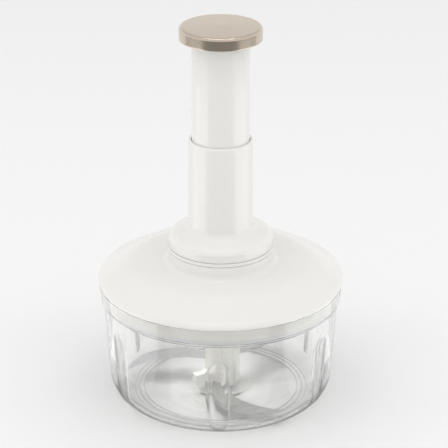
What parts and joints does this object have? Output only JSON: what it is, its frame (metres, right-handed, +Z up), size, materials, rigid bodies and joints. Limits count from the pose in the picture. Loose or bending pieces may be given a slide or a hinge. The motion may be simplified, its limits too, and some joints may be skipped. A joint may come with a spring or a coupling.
{
  "type": "plunger food chopper",
  "caption": "Hand-press food chopper: clear fluted bowl, white lid with a tall handle sleeve, and a sprung plunger that spins sickle blades on a tall hub.",
  "frame": {"origin": "on the table, under the bowl's centre", "axes": "+Z up along the plunger's axis, -Y towards the user, +X to the user's right"},
  "size_m": [0.152, 0.152, 0.2411],
  "materials": {
    "clear_plastic": "clear SAN plastic, polished",
    "white_plastic": "white ABS plastic, glossy",
    "taupe_plastic": "taupe ABS plastic, satin",
    "ivory_plastic": "ivory acetal plastic, satin",
    "blade_steel": "stainless steel, polished",
    "steel": "stainless or zinc-plated steel",
    "spring_steel": "spring wire, drawn",
    "brass": "turned brass",
    "silicone": "translucent white silicone"
  },
  "bodies": {
    "bowl": {"bowl": "clear_plastic", "foot_ring": "silicone", "floor_pin": "steel"},
    "blades": {"lower_blade": "blade_steel", "middle_blade": "blade_steel", "upper_blade": "blade_steel", "blade_hub": "ivory_plastic", "hub_bush": "brass"},
    "lid": {"lid_shell": "white_plastic", "lid_seal": "silicone", "lid_underplate": "white_plastic", "lid_screws": "steel", "collar_ring": "white_plastic", "handle_sleeve": "white_plastic", "sleeve_screws": "steel", "drive_housing": "ivory_plastic", "shaft_seal": "silicone", "thrust_washer": "steel", "bearing_plate": "steel", "rod_bush": "brass", "return_spring": "spring_steel"},
    "output": {"output_coupling": "ivory_plastic"},
    "drive": {"clutch_driver": "ivory_plastic", "clutch_spring": "spring_steel", "spiral_rod": "steel", "stop_washer": "steel", "rod_screw": "steel"},
    "plunger": {"plunger_tube": "white_plastic", "drive_nut": "ivory_plastic", "nut_pins": "steel", "cap_insert": "ivory_plastic", "push_cap": "taupe_plastic", "cap_screw": "steel"}
  },
  "joints": [
    {"name": "lid_lift", "type": "slide", "parent": "bowl", "child": "lid", "axis": [0, 0, 1], "range_m": [0, 0.08]},
    {"name": "plunger_press", "type": "slide", "parent": "lid", "child": "plunger", "axis": [0, 0, 1], "range_m": [-0.056, 0], "stiffness_N_per_m": 200, "springref_m": 0.03, "deforming": ["return_spring"]},
    {"name": "drive_spin", "type": "hinge", "parent": "lid", "child": "drive", "pos_m": [0, 0, 0.08], "axis": [0, 0, 1], "range_deg": [-450, 0]},
    {"name": "coupling_spin", "type": "hinge", "parent": "lid", "child": "output", "pos_m": [0, 0, 0.07], "axis": [0, 0, 1], "range_deg": [-450, 0]},
    {"name": "blade_spin", "type": "hinge", "parent": "bowl", "child": "blades", "pos_m": [0, 0, 0.01], "axis": [0, 0, 1], "range_deg": [-450, 0]}
  ],
  "couplings": [
    {"joint": "drive_spin", "follows": "plunger_press", "rad_per_m": 139.63},
    {"joint": "coupling_spin", "follows": "plunger_press", "rad_per_m": 139.63},
    {"joint": "blade_spin", "follows": "plunger_press", "rad_per_m": 139.63}
  ]
}
